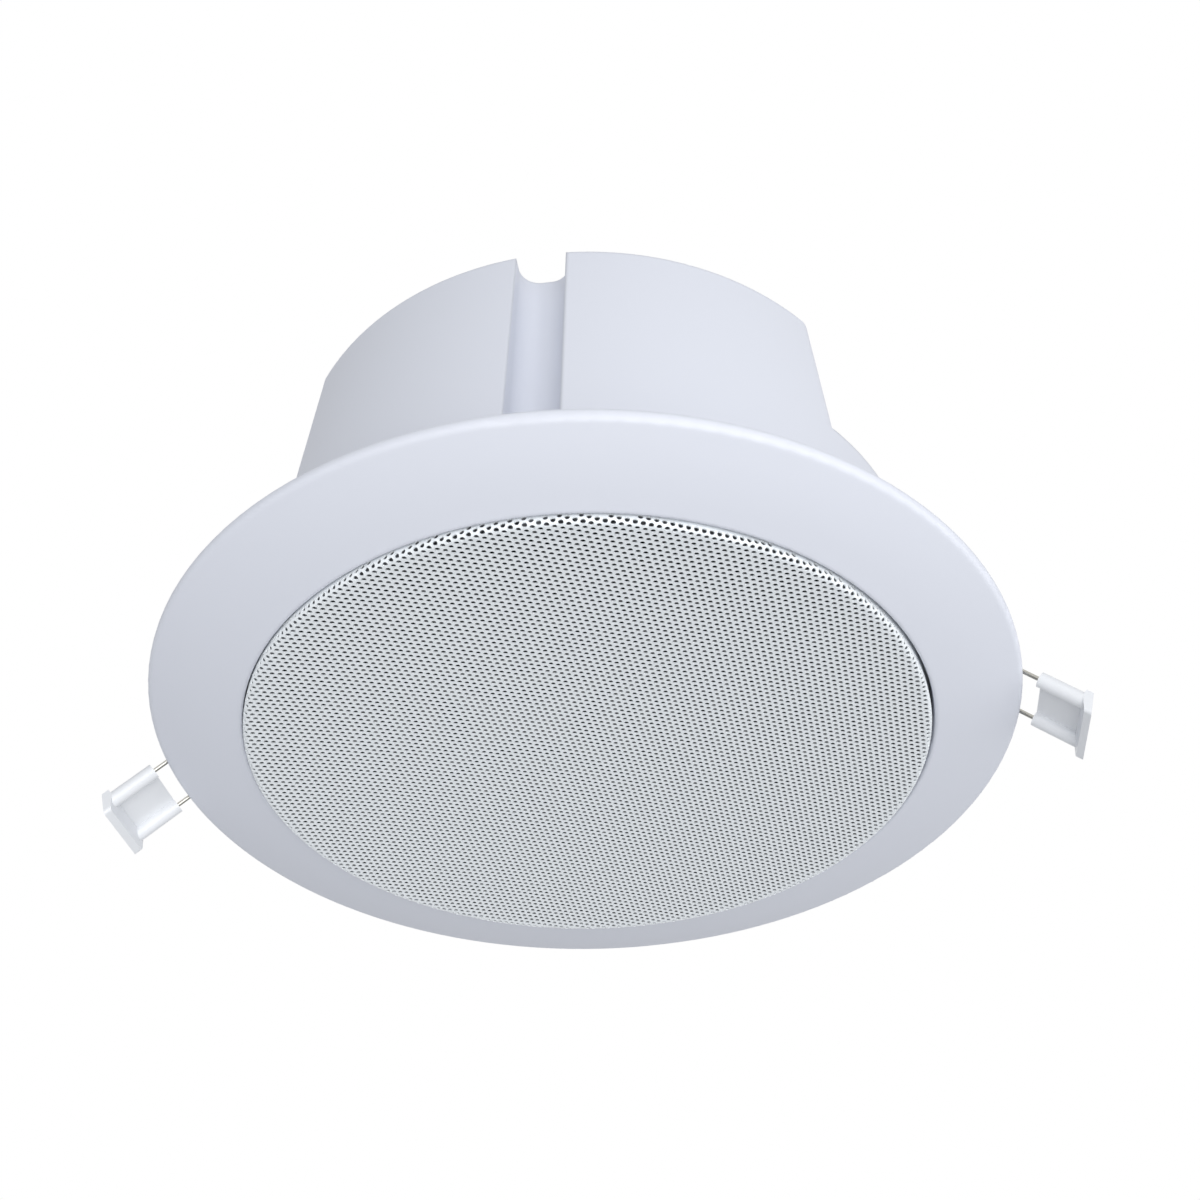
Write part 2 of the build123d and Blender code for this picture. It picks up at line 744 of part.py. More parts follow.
with BuildPart() as tinsel_leads:
    for y in tag_sides:
        with BuildLine() as tinsel_path:
            FilletPolyline(
                (tinsel_start_x + tag_width, y, tinsel_start_z),
                (tinsel_start_x, y, tinsel_start_z),
                (tinsel_outer_x, y, tinsel_start_z + tinsel_arch),
                (tinsel_middle_x, y, tinsel_end_z + tinsel_arch),
                (tinsel_anchor_radius, y, tinsel_end_z),
                radius=tinsel_bend,
            )
        with BuildSketch(Plane(tinsel_path.line @ 0, z_dir=tinsel_path.line % 0)):
            Circle(tinsel_radius)
        sweep()
save(tinsel_leads, "tinsel_leads")

# Input terminal in the can's tray
terminal_top = tray_floor + terminal_height

with BuildPart() as terminal_block:
    with BuildSketch(Plane.XY.offset(tray_floor)):
        with Locations((0, terminal_y)):
            RectangleRounded(terminal_length, terminal_width, terminal_corner_round)
    extrude(amount=terminal_height)
    fillet(terminal_block.edges().group_by(Axis.Z)[-1], terminal_edge_round)
    with BuildSketch(Plane.XY.offset(terminal_top)):
        with Locations(*terminal_screw_places):
            Circle(terminal_screw_radius + terminal_well_clearance)
    extrude(amount=-terminal_well_depth, mode=Mode.SUBTRACT)
    with BuildSketch(Plane.XZ.offset(-terminal_front)):
        with Locations(*[(x, tray_floor + terminal_entry_rise) for x, y in terminal_screw_places]):
            Circle(terminal_entry_radius)
    extrude(amount=-terminal_entry_depth, mode=Mode.SUBTRACT)
    with BuildSketch(Plane.XY.offset(tray_floor)):
        with Locations(*terminal_pin_places):
            Circle(terminal_pin_radius + screw_clearance)
    extrude(amount=terminal_pin_grip, mode=Mode.SUBTRACT)
save(terminal_block, "terminal_block")

with BuildPart() as terminal_screws:
    with BuildSketch(Plane.XY.offset(terminal_top - terminal_well_depth)):
        with Locations(*terminal_screw_places):
            Circle(terminal_screw_radius)
    extrude(amount=terminal_screw_height)
    with BuildSketch(Plane.XY.offset(terminal_top - terminal_well_depth + terminal_screw_height)):
        with Locations(*terminal_screw_places):
            Rectangle(2 * terminal_screw_radius, screw_recess_width)
    extrude(amount=-screw_recess_depth, mode=Mode.SUBTRACT)
save(terminal_screws, "terminal_screws")

pin_bottom = tray_floor - can_wall - terminal_pin_drop
with BuildPart() as terminal_pins:
    with BuildSketch(Plane.XY.offset(pin_bottom)):
        with Locations(*terminal_pin_places):
            Circle(terminal_pin_radius)
    extrude(amount=tray_floor + terminal_pin_grip - pin_bottom)
save(terminal_pins, "terminal_pins")

# The two leads inside the can, from the driver's tags over the magnet to the terminal's pins
lead_start_x = board_outer - tag_sheet / 2
lead_level = magnet_back + yoke_thickness + lead_over_magnet
lead_turn = min(lead_bend, (pin_bottom - lead_level) / 2)
lead_ways = {
    "positive": [(66, 6, 46), (48, 8, 59), (28, 10, lead_level)],
    "negative": [(66, -6, 46), (48, -4, 59), (28, 0, lead_level), (8, 5, lead_level)],
}
for (polarity, way), tag_y, pin_place in zip(lead_ways.items(), tag_sides, terminal_pin_places):
    with BuildPart() as lead:
        with BuildLine() as lead_path:
            FilletPolyline(
                (lead_start_x, tag_y, tag_top),
                (lead_start_x, tag_y, tag_top + lead_rise),
                *way,
                (*pin_place, lead_level),
                (*pin_place, pin_bottom),
                radius=lead_turn,
            )
        with BuildSketch(Plane(lead_path.line @ 0, z_dir=lead_path.line % 0)):
            Circle(lead_radius)
        sweep()
    save(lead, f"{polarity}_lead")
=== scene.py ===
import json
from math import asin, cos, pi, radians, sin, sqrt, tau

import bpy
import numpy as np
from bpy.props import FloatProperty, PointerProperty
from mathutils import Matrix, Vector
from mathutils.geometry import delaunay_2d_cdt


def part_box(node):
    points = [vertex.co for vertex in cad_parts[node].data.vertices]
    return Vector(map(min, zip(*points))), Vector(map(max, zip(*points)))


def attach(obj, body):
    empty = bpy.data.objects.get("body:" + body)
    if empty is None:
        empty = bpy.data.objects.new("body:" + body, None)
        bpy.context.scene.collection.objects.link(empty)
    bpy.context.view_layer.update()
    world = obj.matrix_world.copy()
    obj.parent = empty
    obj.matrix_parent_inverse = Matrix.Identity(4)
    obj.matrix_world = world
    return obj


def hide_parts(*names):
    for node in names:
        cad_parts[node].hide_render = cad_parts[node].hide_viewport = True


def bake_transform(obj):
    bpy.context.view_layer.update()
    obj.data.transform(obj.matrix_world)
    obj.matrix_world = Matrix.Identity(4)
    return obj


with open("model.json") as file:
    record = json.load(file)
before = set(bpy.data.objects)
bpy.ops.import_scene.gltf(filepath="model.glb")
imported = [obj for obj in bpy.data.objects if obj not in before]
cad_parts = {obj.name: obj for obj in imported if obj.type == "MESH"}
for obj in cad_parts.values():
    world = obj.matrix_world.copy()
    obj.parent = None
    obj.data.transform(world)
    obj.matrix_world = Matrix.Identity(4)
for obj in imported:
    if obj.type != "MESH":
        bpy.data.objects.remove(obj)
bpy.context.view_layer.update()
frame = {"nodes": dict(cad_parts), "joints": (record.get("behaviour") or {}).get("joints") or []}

bl_info = {
    "name": "In-ceiling speaker",
    "version": (1, 0, 0),
    "blender": (4, 5, 0),
    "location": "3D View > Sidebar > Speaker",
    "description": "Dresses the packed in-ceiling speaker: grille, clip springs, finishes and stage",
    "category": "Object",
}

MM = 0.001
GRILLE_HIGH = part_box("grille")[1]
PIVOT = {joint["child"]: Vector(joint["pos_m"]) for joint in frame["joints"] if joint["type"] == "hinge"}

# Faces that meet at less than this angle look like one smooth surface
SMOOTH_ANGLE = radians(50)

# Turns and fineness of the springs' wire
COIL_TURNS = 2.5
COIL_STEPS = 24
WIRE_SIDES = 12

# Points around the edge of the grille's sheet
RING_SIZE = 360

# Where the driver's soft pieces leave the housing and where they join the cone, from the middle
SURROUND_SPAN = (66 * MM, 56 * MM)
SPIDER_SPAN = (34 * MM, 15 * MM)

# Stage: half the floor's width, the lights' width and places, the fill's strength
FLOOR_HALF = 3.0
LIGHT_WIDTH = 0.9
FRONT_PLACE = (0.39, -0.92, -0.41)
LOW_PLACE = (0.1, -0.65, -0.56)
SIDE_PLACE = (1.0, -0.3, -0.25)
FILL_STRENGTH = 0.41

# Camera, as fitted to the photograph's outlines
SENSOR_WIDTH = 36
SHIFT = (-0.05975, -0.03233)
CLIP_START = 0.01
EYE_PLACE = (0.0460033, -0.2895752, -0.2164338)
EYE_AHEAD = (-0.05505406, 0.71999314, 0.69179399)
EYE_RIGHT = (0.99255067, 0.11487842, -0.04057239)


# Sizes and colours that a user would change
class SpeakerGrilleSizes(bpy.types.PropertyGroup):
    """Sizes of the perforated sheet"""

    hole_pitch: FloatProperty(
        name="Hole pitch",
        description="Distance between neighbouring holes",
        default=1.84 * MM,
        unit="LENGTH",
    )
    hole_width: FloatProperty(
        name="Hole width", description="Width of one punched hole", default=1.28 * MM, unit="LENGTH"
    )
    row_angle: FloatProperty(
        name="Row angle",
        description="Direction of one row of holes",
        default=radians(25.5),
        subtype="ANGLE",
    )
    sheet: FloatProperty(name="Sheet", description="Thickness of the sheet", default=0.4 * MM, unit="LENGTH")
    dish: FloatProperty(
        name="Dish",
        description="Height of the middle above the rim's corner",
        default=5.5 * MM,
        unit="LENGTH",
    )
    rim_drop: FloatProperty(
        name="Rim drop",
        description="Depth of the rim's corner below the ceiling",
        default=9.5 * MM,
        unit="LENGTH",
    )
    edge_round: FloatProperty(
        name="Edge round", description="Outer radius of the rolled edge", default=1.2 * MM, unit="LENGTH"
    )
    punched_skirt: FloatProperty(
        name="Punched skirt",
        description="How far the holes go on up the skirt",
        default=2.5 * MM,
        unit="LENGTH",
    )
    seat: FloatProperty(
        name="Seat",
        description="How far the grille sits to the left in its recess",
        default=0.3 * MM,
        unit="LENGTH",
    )


class SpeakerClipSizes(bpy.types.PropertyGroup):
    """Sizes of the double torsion springs"""

    wire: FloatProperty(
        name="Wire",
        description="Thickness of the spring wire",
        default=1.2 * MM,
        unit="LENGTH",
    )
    coil_radius: FloatProperty(
        name="Coil radius",
        description="From the pin's axis to the wire's middle",
        default=3.0 * MM,
        unit="LENGTH",
    )
    coil_pitch: FloatProperty(
        name="Coil pitch",
        description="Distance between neighbouring turns",
        default=1.24 * MM,
        unit="LENGTH",
    )
    arm_spread: FloatProperty(
        name="Arm spread",
        description="From the middle of the clip to one arm",
        default=8.4 * MM,
        unit="LENGTH",
    )
    arm_length: FloatProperty(
        name="Arm length",
        description="From the coil to the wire's end in the cap",
        default=33.9 * MM,
        unit="LENGTH",
    )
    arm_angle: FloatProperty(
        name="Arm angle", description="Slope of the arms below the level", default=0.72397, subtype="ANGLE"
    )


class SpeakerStage(bpy.types.PropertyGroup):
    """Camera and light"""

    lens: FloatProperty(
        name="Lens", description="Focal length on a 36 mm sensor", default=39.805, unit="CAMERA"
    )
    front_power: FloatProperty(
        name="Front light",
        description="Power of the soft light in front",
        default=5.0,
        unit="POWER",
    )
    low_power: FloatProperty(
        name="Low light",
        description="Power of the soft light below the front",
        default=2.9,
        unit="POWER",
    )
    side_power: FloatProperty(
        name="Side light",
        description="Power of the soft light at the right",
        default=2.3,
        unit="POWER",
    )
    floor_drop: FloatProperty(
        name="Floor drop",
        description="Depth of the floor below the ceiling",
        default=1.0,
        unit="LENGTH",
    )


# Finishes
def linear(hex_colour):
    """An sRGB hex colour as linear RGBA"""
    channels = [int(hex_colour[i : i + 2], 16) / 255 for i in (1, 3, 5)]
    return [c / 12.92 if c <= 0.04045 else ((c + 0.055) / 1.055) ** 2.4 for c in channels] + [1.0]


def node(tree, kind, settings=(), links=()):
    """Adds a node, sets its properties or input sockets by name, and links inputs to other nodes' outputs"""
    made = tree.nodes.new(kind)
    for name, value in dict(settings).items():
        if name in made.inputs:
            made.inputs[name].default_value = value
        else:
            setattr(made, name, value)
    for name, (source, output) in dict(links).items():
        tree.links.new(source.outputs[output], made.inputs[name])
    return made


def material(name, **surface):
    """A new material with one principled surface, returned with its tree and shader"""
    made = bpy.data.materials.new(name)
    made.use_nodes = True
    tree = made.node_tree
    shader = tree.nodes["Principled BSDF"]
    for socket, value in surface.items():
        shader.inputs[socket.replace("_", " ")].default_value = value
    made.diffuse_color = shader.inputs["Base Color"].default_value
    return made, tree, shader


def grain(tree, shader, size, strength, depth, detail=2.0):
    """Fine bumps of a real size and depth on a surface"""
    place = node(tree, "ShaderNodeTexCoord")
    noise = node(
        tree, "ShaderNodeTexNoise", {"Scale": 1 / size, "Detail": detail}, {"Vector": (place, "Object")}
    )
    bump = node(tree, "ShaderNodeBump", {"Strength": strength, "Distance": depth}, {"Height": (noise, "Fac")})
    tree.links.new(bump.outputs["Normal"], shader.inputs["Normal"])
    return bump


def abs_moulded_white():
    """ABS, moulded in a lightly textured tool: a cool white with a broad soft sheen"""
    made, tree, shader = material(
        "ABS, moulded satin white", Base_Color=linear("#E0E3EC"), Roughness=0.5, IOR=1.53
    )
    bump = grain(tree, shader, 0.9 * MM, 0.06, 0.02 * MM)
    # the tool's corners are broken, so each edge catches a soft line of light
    corners = node(tree, "ShaderNodeBevel", {"samples": 6, "Radius": 1.5 * MM})
    tree.links.new(corners.outputs["Normal"], bump.inputs["Normal"])
    return made


def steel_powder_coated():
    """Steel sheet, punched and powder-coated: a clean white with small soft glints at the hole rims"""
    return material("Steel, powder-coated white", Base_Color=linear("#F2F6F9"), Roughness=0.4, IOR=1.5)[0]


def black_cloth_painted_shade():
    """A black woven cloth behind the sheet as painted shade: the even dark behind every hole stands in for
    the shade inside the can
    """
    made, tree, shader = material("Black cloth, painted shade behind the holes", Base_Color=linear("#17181A"), Roughness=0.9)
    grain(tree, shader, 0.5 * MM, 0.4, 0.1 * MM)
    return made


def acetal_moulded_white():
    """Acetal, moulded glossy: a slightly waxy white with clear highlights"""
    return material("Acetal, moulded gloss white", Base_Color=linear("#EBEDF0"), Roughness=0.28, IOR=1.48)[0]


def spring_steel_drawn():
    """Spring steel, drawn bright: a grey mirror with narrow highlights along the wire"""
    colour = linear("#B9B7B0")
    return material("Spring steel, drawn bright", Base_Color=colour, Metallic=1.0, Roughness=0.22)[0]


def steel_zinc_plated():
    """Steel, zinc-plated and passivated: a bluish metal with a slightly clouded gloss"""
    made, tree, shader = material(
        "Steel, bright zinc plate", Base_Color=linear("#C3C7CC"), Metallic=1.0, Roughness=0.3
    )
    grain(tree, shader, 0.6 * MM, 0.08, 0.01 * MM)
    return made


def steel_painted_black():
    """Steel, pressed and stove-painted: a deep black with a dull sheen"""
    return material("Steel, painted black", Base_Color=linear("#1B1B1D"), Roughness=0.45)[0]


def foam_cut_black():
    """Closed-cell foam, die-cut: a dull black that takes no highlight"""
    made, tree, shader = material("EVA foam, die-cut", Base_Color=linear("#19191A"), Roughness=0.95)
    grain(tree, shader, 0.5 * MM, 0.3, 0.1 * MM)
    return made


def rubber_moulded():
    """Nitrile rubber, moulded: matt black with a grey bloom"""
    return material("Nitrile rubber, moulded matt", Base_Color=linear("#202022"), Roughness=0.7)[0]


def paper_pressed():
    """Paper pulp, pressed and dyed: charcoal with a fibrous tooth"""
    made, tree, shader = material(
        "Paper pulp, pressed and dyed", Base_Color=linear("#262628"), Roughness=0.85
    )
    grain(tree, shader, 1.2 * MM, 0.35, 0.12 * MM, 4.0)
    return made


def copper_enamelled():
    """Copper wire, enamelled and wound: a warm metal in fine rings"""
    made, tree, shader = material(
        "Copper, enamelled winding", Base_Color=linear("#B4652F"), Metallic=1.0, Roughness=0.35
    )
    place = node(tree, "ShaderNodeTexCoord")
    # 0.5 mm wire lies in rings along the coil's axis
    rings = node(
        tree,
        "ShaderNodeTexWave",
        {"bands_direction": "Z", "Scale": tau / 20 / (0.5 * MM)},
        {"Vector": (place, "Object")},
    )
    bump = node(
        tree, "ShaderNodeBump", {"Strength": 0.5, "Distance": 0.1 * MM}, {"Height": (rings, "Fac")}
    )
    tree.links.new(bump.outputs["Normal"], shader.inputs["Normal"])
    return made


def cloth_resin_stiffened():
    """Cotton cloth, woven, resin-dipped and pressed: honey brown with a visible weave"""
    made, tree, shader = material(
        "Cotton cloth, resin-stiffened", Base_Color=linear("#B88A3E"), Roughness=0.8
    )
    grain(tree, shader, 0.7 * MM, 0.4, 0.1 * MM)
    return made


def ferrite_ground():
    """Ferrite, sintered and ground: a dark grey ceramic with a faint metallic sheen"""
    made, tree, shader = material("Ferrite, sintered and ground", Base_Color=linear("#3A3A3D"), Roughness=0.5)
    grain(tree, shader, 0.8 * MM, 0.15, 0.03 * MM)
    return made


def phenolic_board():
    """Phenolic paper board, punched: brown with a dull polish"""
    return material("Phenolic board, punched", Base_Color=linear("#7A4A28"), Roughness=0.5)[0]


def brass_tinned():
    """Brass, tin-plated: a soft warm silver"""
    return material("Brass, tin-plated", Base_Color=linear("#CFCBC0"), Metallic=1.0, Roughness=0.32)[0]


def copper_braided():
    """Copper tinsel, braided: a pinkish metal cord"""
    made, tree, shader = material(
        "Copper tinsel, braided", Base_Color=linear("#C08457"), Metallic=1.0, Roughness=0.45
    )
    grain(tree, shader, 0.4 * MM, 0.5, 0.1 * MM)
    return made


def nylon_moulded():
    """Nylon, moulded: an off-white with a dry sheen"""
    return material("Nylon, moulded off-white", Base_Color=linear("#E6E4DC"), Roughness=0.5, IOR=1.53)[0]


def pvc_extruded(name, hex_colour):
    """PVC insulation, extruded: an even colour with a waxy sheen"""
    return material(f"PVC, extruded {name}", Base_Color=linear(hex_colour), Roughness=0.4, IOR=1.53)[0]


def dress(finish, *nodes):
    """Puts one finish on CAD nodes"""
    for name in nodes:
        piece = frame["nodes"][name]
        piece.data.materials.clear()
        piece.data.materials.append(finish)


# Meshes
def mesh_piece(name, points, faces, finish):
    """A new piece from points and faces, smooth where its faces meet at a small angle"""
    mesh = bpy.data.meshes.new(name)
    mesh.from_pydata(points, [], faces)
    mesh.polygons.foreach_set("use_smooth", np.ones(len(mesh.polygons), bool))
    mesh.set_sharp_from_angle(angle=SMOOTH_ANGLE)
    mesh.materials.append(finish)
    mesh.validate()
    piece = bpy.data.objects.new(name, mesh)
    bpy.context.scene.collection.objects.link(piece)
    return piece


def tube(path, radius, sides):
    """Points and faces of a round wire along a path, closed at both ends"""
    path = [Vector(point) for point in path]
    points = []
    faces = []
    side = None
    for i, point in enumerate(path):
        ahead = (path[min(i + 1, len(path) - 1)] - path[max(i - 1, 0)]).normalized()
        if side is None:
            side = ahead.orthogonal().normalized()
        side = (side - ahead * side.dot(ahead)).normalized()
        across = ahead.cross(side)
        for k in range(sides):
            angle = tau * k / sides
            points.append(point + radius * (cos(angle) * side + sin(angle) * across))
    for i in range(len(path) - 1):
        for k in range(sides):
            a, b = i * sides + k, i * sides + (k + 1) % sides
            faces.append((a, b, b + sides, a + sides))
    faces.append(tuple(range(sides - 1, -1, -1)))
    faces.append(tuple(range((len(path) - 1) * sides, len(path) * sides)))
    return points, faces


def flexing(name, source, finish):
    """A copy of a CAD node with a finish, in place of the hidden node"""
    solid = frame["nodes"][source]
    piece = bpy.data.objects.new(name, solid.data.copy())
    bpy.context.scene.collection.objects.link(piece)
    piece.matrix_world = solid.matrix_world
    piece.data.materials.clear()
    piece.data.materials.append(finish)
    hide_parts(source)
    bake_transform(piece)
    return piece


def flexing_ring(name, source, finish, slot, outer, inner):
    """A copy of a round CAD node with a finish, in place of the hidden node; the two radii it is given are
    not used
    """
    piece = flexing(name, source, finish)


class PanProfile:
    """The grille's section by distance along the sheet: its dish, its rolled edge and its skirt"""

    def __init__(self, sizes, radius, top):
        self.sheet = sizes.sheet
        self.top = top
        self.radius = radius
        self.round = sizes.edge_round
        self.dish_radius = (radius**2 + sizes.dish**2) / (2 * sizes.dish)
        self.dish_centre = sizes.dish - sizes.rim_drop - self.dish_radius
        self.roll_x = radius - self.round
        self.dish_angle = asin(self.roll_x / (self.dish_radius + self.round))
        self.roll_z = self.dish_centre + (self.dish_radius + self.round) * cos(self.dish_angle)
        self.dish_length = self.dish_radius * self.dish_angle
        self.roll_angle = pi / 2 + self.dish_angle
        self.roll_end = self.dish_length + self.round * self.roll_angle
        self.end = self.roll_end + top - self.roll_z

    def at(self, distance):
        """Radius and height on the outside, and the direction into the sheet, for an array of distances"""
        on_dish = np.minimum(distance, self.dish_length) / self.dish_radius
        turn = np.clip((distance - self.dish_length) / self.round, 0, self.roll_angle)
        rise = np.maximum(distance - self.roll_end, 0)
        angle = -self.roll_angle + turn
        rolled = distance > self.dish_length
        radius = np.where(
            rolled,
            self.roll_x + self.round * np.cos(angle),
            self.dish_radius * np.sin(on_dish),
        )
        height = np.where(
            rolled,
            self.roll_z + self.round * np.sin(angle) + rise,
            self.dish_centre + self.dish_radius * np.cos(on_dish),
        )
        inward_r = np.where(rolled, -np.cos(angle), np.sin(on_dish))
        inward_z = np.where(rolled, -np.sin(angle), np.cos(on_dish))
        return radius, height, inward_r, inward_z


# One cell of the sheet: a hexagon around an eight-sided hole, as triangles of corner and rim numbers
CORNER_OFFSETS = ((1, 1), (-1, 2), (-2, 1), (-1, -1), (1, -2), (2, -1))
HOLE_SIDES = 8
CELL_CORNERS = 6


def cell_triangles():
    """Triangles between a hexagon's corners, numbered 0 to 5, and a hole's rim, numbered from 6"""
    corner_angles = [30 + 60 * k for k in range(CELL_CORNERS)]
    rim_angles = [360 / HOLE_SIDES * k for k in range(HOLE_SIDES)]

    def nearest(angles, angle):
        return min(range(len(angles)), key=lambda k: abs((angles[k] - angle + 180) % 360 - 180))

    made = []
    for k in range(HOLE_SIDES):
        corner = nearest(corner_angles, rim_angles[k] + 180 / HOLE_SIDES)
        made.append((corner, CELL_CORNERS + (k + 1) % HOLE_SIDES, CELL_CORNERS + k))
    for k in range(CELL_CORNERS):
        rim = nearest(rim_angles, corner_angles[k] + 30)
        made.append((k, (k + 1) % CELL_CORNERS, CELL_CORNERS + rim))
    return np.array(made)


def perforated_sheet(sizes, profile):
    """The flat sheet before it is pressed: points, triangles and each triangle's turn about the middle"""
    pitch = sizes.hole_pitch
    first = pitch * np.array((cos(sizes.row_angle), sin(sizes.row_angle)))
    second = pitch * np.array((cos(sizes.row_angle + pi / 3), sin(sizes.row_angle + pi / 3)))
    basis = np.stack((first, second))
    border = profile.roll_end + sizes.punched_skirt
    reach = int(border / pitch * 1.2) + 1
    i, j = np.meshgrid(np.arange(-reach, reach + 1), np.arange(-reach, reach + 1), indexing="ij")
    cells = np.stack((i.ravel(), j.ravel()), 1)
    kept = np.linalg.norm(cells @ basis, axis=1) + pitch / sqrt(3) < border - pitch / 4
    cells = cells[kept]
    centres = cells @ basis
    # corners are shared between cells, in thirds of the pitch
    keys = 3 * cells[:, None, :] + np.array(CORNER_OFFSETS)
    corner_keys, corner_numbers = np.unique(keys.reshape(-1, 2), axis=0, return_inverse=True)
    corner_numbers = corner_numbers.reshape(-1, CELL_CORNERS)
    corners = corner_keys / 3 @ basis
    angles = sizes.row_angle + tau * np.arange(HOLE_SIDES) / HOLE_SIDES
    rim = sizes.hole_width / 2 * np.stack((np.cos(angles), np.sin(angles)), 1)
    rims = (centres[:, None, :] + rim).reshape(-1, 2)
    rim_numbers = len(corners) + np.arange(len(rims)).reshape(-1, HOLE_SIDES)
    numbers = np.concatenate((corner_numbers, rim_numbers), 1)
    triangles = numbers[:, cell_triangles()].reshape(-1, 3)
    turn = np.repeat(np.arctan2(centres[:, 1], centres[:, 0]), HOLE_SIDES + CELL_CORNERS)

    # the plain border around the outermost cells
    sides = np.stack((corner_numbers, np.roll(corner_numbers, -1, 1)), 2).reshape(-1, 2)
    _, first_seen, count = np.unique(np.sort(sides, 1), axis=0, return_index=True, return_counts=True)
    outline = sides[first_seen[count == 1]]
    used, outline = np.unique(outline, return_inverse=True)
    outline = outline.reshape(-1, 2)
    ring_angles = tau * np.arange(RING_SIZE) / RING_SIZE
    ring = border * np.stack((np.cos(ring_angles), np.sin(ring_angles)), 1)
    band_points = np.concatenate((corners[used], ring))
    ring_order = np.arange(RING_SIZE)
    ring_sides = len(used) + np.stack((ring_order, (ring_order + 1) % RING_SIZE), 1)
    # millimetres keep the points well apart for the triangulation
    found, _, band, origins, *_ = delaunay_2d_cdt(
        [Vector(point / MM) for point in band_points],
        np.concatenate((outline, ring_sides)).tolist(),
        [],
        0,
        1e-6,
    )
    if len(found) != len(band_points):
        raise RuntimeError("the grille's border moved points together")
    place = np.array([origin[0] for origin in origins])
    ring_numbers = len(corners) + len(rims) + np.arange(RING_SIZE)
    band_numbers = np.concatenate((used, ring_numbers))
    band = place[np.array(band)]
    middles = band_points[band].mean(1)
    skew = np.linalg.solve(basis.T, middles.T).T
    inside = {tuple(cell) for cell in cells.tolist()}
    base = np.floor(skew).astype(int)
    outside = []
    for middle, low in zip(middles, base):
        around = low + np.array(((0, 0), (1, 0), (0, 1), (1, 1)))
        near = around[np.argmin(np.linalg.norm(around @ basis - middle, axis=1))]
        outside.append(tuple(near.tolist()) not in inside)
    band, middles = band[outside], middles[outside]
    triangles = np.concatenate((triangles, band_numbers[band]))
    turn = np.concatenate((turn, np.arctan2(middles[:, 1], middles[:, 0])))

    # the plain part of the skirt
    skirt = profile.end * np.stack((np.cos(ring_angles), np.sin(ring_angles)), 1)
    skirt_numbers = ring_numbers[-1] + 1 + np.arange(RING_SIZE)
    a, b = ring_numbers, np.roll(ring_numbers, -1)
    c, d = skirt_numbers, np.roll(skirt_numbers, -1)
    triangles = np.concatenate((triangles, np.stack((a, c, d), 1), np.stack((a, d, b), 1)))
    half_step = pi / RING_SIZE
    turn = np.concatenate((turn, ring_angles + half_step, ring_angles + half_step))
    points = np.concatenate((corners, rims, ring, skirt))
    return points, triangles, turn


def thickened(points, triangles, profile):
    """Points and faces of a closed sheet: its outside, its inside and a wall at every free edge"""
    used, faces = np.unique(triangles, return_inverse=True)
    faces = faces.reshape(-1, 3)
    flat = points[used]
    distance = np.linalg.norm(flat, axis=1)
    direction = flat / np.maximum(distance, 1e-9)[:, None]
    radius, height, inward_r, inward_z = profile.at(distance)
    outside = np.concatenate((direction * radius[:, None], height[:, None]), 1)
    inward = np.concatenate((direction * inward_r[:, None], inward_z[:, None]), 1)
    inside = outside + profile.sheet * inward
    sides = np.concatenate((faces[:, (0, 1)], faces[:, (1, 2)], faces[:, (2, 0)]))
    _, first_seen, count = np.unique(np.sort(sides, 1), axis=0, return_index=True, return_counts=True)
    free = sides[first_seen[count == 1]]
    step = len(used)
    walls = np.stack((free[:, 0], free[:, 1], free[:, 1] + step, free[:, 0] + step), 1)
    faces = faces[:, ::-1].tolist() + (faces + step).tolist() + walls.tolist()
    return np.concatenate((outside, inside)), faces


class SPEAKER_OT_grille(bpy.types.Operator):
    """Makes the perforated grille in three sectors"""

    bl_idname = "speaker.grille"
    bl_label = "Perforated grille"

    def execute(self, context):
        sizes = context.scene.speaker_grille
        profile = PanProfile(sizes, GRILLE_HIGH.x, GRILLE_HIGH.z)
        points, triangles, turn = perforated_sheet(sizes, profile)
        # the black cloth behind the sheet is painted shade for the can's shaded inside
        dress(black_cloth_painted_shade(), "grille_cloth")
        finish = steel_powder_coated()
        sector = ((turn - sizes.row_angle) % tau // (tau / 3)).astype(int) % 3
        for k, name in enumerate(("grille_front", "grille_left", "grille_right")):
            sheet_points, faces = thickened(points, triangles[sector == k], profile)
            piece = mesh_piece(name, sheet_points - np.array((sizes.seat, 0, 0)), faces, finish)
            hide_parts("grille")
            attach(piece, "housing")
        return {"FINISHED"}


class SPEAKER_OT_clips(bpy.types.Operator):
    """Makes both clips' wound springs and finishes their caps"""

    bl_idname = "speaker.clips"
    bl_label = "Spring clips"

    def execute(self, context):
        sizes = context.scene.speaker_clips
        wire = spring_steel_drawn()
        for side, sign in (("left", -1), ("right", 1)):
            pivot = PIVOT[f"{side}_clip"]
            along = Vector((sign * cos(sizes.arm_angle), 0, -sin(sizes.arm_angle)))
            above = Vector((sign * sin(sizes.arm_angle), 0, cos(sizes.arm_angle)))
            # the wire comes in over the coil's top, winds towards the middle and crosses below
            half = [(sizes.arm_length, sizes.coil_radius, sizes.arm_spread)]
            for k in range(int(COIL_TURNS * COIL_STEPS) + 1):
                angle = tau * k / COIL_STEPS
                half.append(
                    (
                        -sizes.coil_radius * sin(angle),
                        sizes.coil_radius * cos(angle),
                        sizes.arm_spread - sizes.coil_pitch * k / COIL_STEPS,
                    )
                )
            path = half + [(u, v, -y) for u, v, y in reversed(half)]
            path = [pivot + u * along + v * above + Vector((0, y, 0)) for u, v, y in path]
            piece = mesh_piece(f"{side}_clip_wire", *tube(path, sizes.wire / 2, WIRE_SIDES), wire)
            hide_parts(f"{side}_clip_spring")
            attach(piece, f"{side}_clip")
        dress(acetal_moulded_white(), "left_clip_cap", "right_clip_cap")
        return {"FINISHED"}


